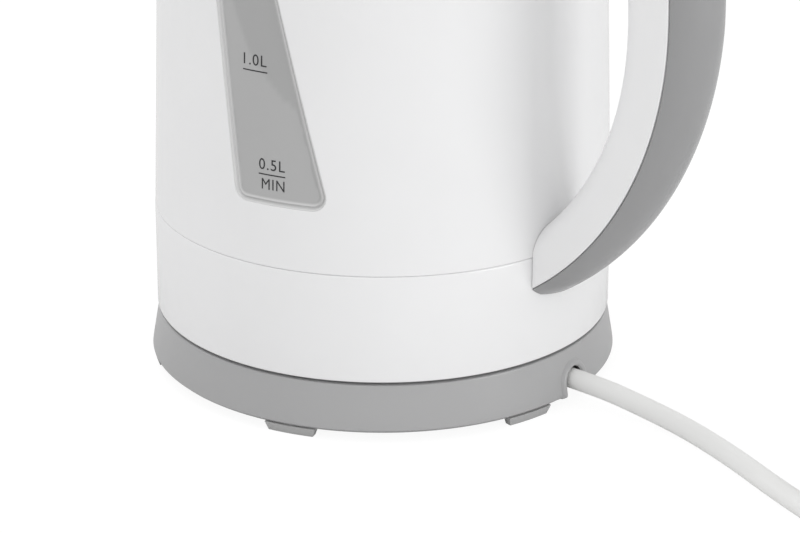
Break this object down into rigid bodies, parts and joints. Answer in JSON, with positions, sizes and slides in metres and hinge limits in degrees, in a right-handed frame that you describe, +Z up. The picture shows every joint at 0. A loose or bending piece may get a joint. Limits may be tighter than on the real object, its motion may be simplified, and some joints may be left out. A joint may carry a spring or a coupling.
{
  "type": "electric kettle",
  "caption": "Cordless electric jug kettle with a hinged lid, hollow handle, water window and a round power base that has a mains cord and plug.",
  "frame": {"origin": "centre of the jug on the surface that the base stands on", "axes": "+Z up along the axis of the jug, +X towards the handle, -X towards the spout, the water window faces about -Y"},
  "size_m": [0.342, 0.2241, 0.2145],
  "materials": {
    "white_plastic": "gloss",
    "grey_plastic": "satin gloss",
    "dark_plastic": "matte",
    "smoked_window": "clear gloss",
    "stainless_steel": "satin",
    "brass": "satin",
    "nickel": "polished",
    "silicone": "matte",
    "cord_sleeve": "satin",
    "foot_rubber": "matte",
    "filter_mesh": "matte",
    "neon_lens": "clear gloss"
  },
  "bodies": {
    "power_base": {"base_cover": "grey_plastic", "base_plate": "grey_plastic", "base_feet": "foot_rubber", "base_screws": "stainless_steel", "coupling_base": "dark_plastic", "base_contacts": "brass", "cord_clamp": "dark_plastic", "clamp_screws": "stainless_steel", "power_cord": "cord_sleeve", "cord_tail": "cord_sleeve", "cord_coil": "cord_sleeve", "plug_body": "cord_sleeve", "plug_pins": "nickel", "plug_earth_clips": "brass"},
    "coupling_ring": {"guide_ring": "dark_plastic"},
    "jug": {"jug_skirt": "white_plastic", "jug_shell": "white_plastic", "water_window": "smoked_window", "rim_collar": "grey_plastic", "hinge_pin": "stainless_steel", "filter_frame": "grey_plastic", "filter_mesh": "filter_mesh", "heating_plate": "stainless_steel", "plate_seal": "silicone", "heating_element": "stainless_steel", "jug_socket": "dark_plastic", "bimetal_discs": "brass", "earth_pin": "nickel", "jug_underside": "white_plastic", "jug_screws": "stainless_steel", "handle_shell": "white_plastic", "handle_cover": "grey_plastic", "switch_carrier": "dark_plastic", "steam_disc": "brass"},
    "lid": {"lid_cap": "grey_plastic", "lid_liner": "white_plastic"},
    "lid_button": {"lid_button": "grey_plastic"},
    "latch": {"latch_bolt": "dark_plastic"},
    "power_switch": {"power_rocker": "grey_plastic", "rocker_lens": "neon_lens"},
    "trip_lever": {"trip_lever": "dark_plastic"}
  },
  "joints": [
    {"name": "jug_swivel", "type": "hinge", "parent": "power_base", "child": "coupling_ring", "pos_m": [0, 0, 0.0233], "axis": [0, 0, 1], "continuous": true},
    {"name": "jug_lift", "type": "slide", "parent": "coupling_ring", "child": "jug", "axis": [0, 0, 1], "range_m": [0, 0.08]},
    {"name": "lid_hinge", "type": "hinge", "parent": "jug", "child": "lid", "pos_m": [0.056, 0, 0.202], "axis": [0, 1, 0], "range_deg": [0, 75]},
    {"name": "button_press", "type": "slide", "parent": "jug", "child": "lid_button", "axis": [0, 0, -1], "range_m": [0, 0.002], "stiffness_N_per_m": 600, "springref_m": -0.002},
    {"name": "latch_slide", "type": "slide", "parent": "jug", "child": "latch", "axis": [1, 0, 0], "range_m": [0, 0.002]},
    {"name": "rocker_tilt", "type": "hinge", "parent": "jug", "child": "power_switch", "pos_m": [0.10561, 0, 0.19759], "axis": [0, 1, 0], "range_deg": [0, 8]},
    {"name": "trip_tilt", "type": "hinge", "parent": "jug", "child": "trip_lever", "pos_m": [0.0818, 0, 0.18728], "axis": [0, 1, 0], "range_deg": [-8, 0]}
  ],
  "couplings": [
    {"joint": "latch_slide", "follows": "button_press", "ratio": 1},
    {"joint": "trip_tilt", "follows": "rocker_tilt", "ratio": -1}
  ]
}
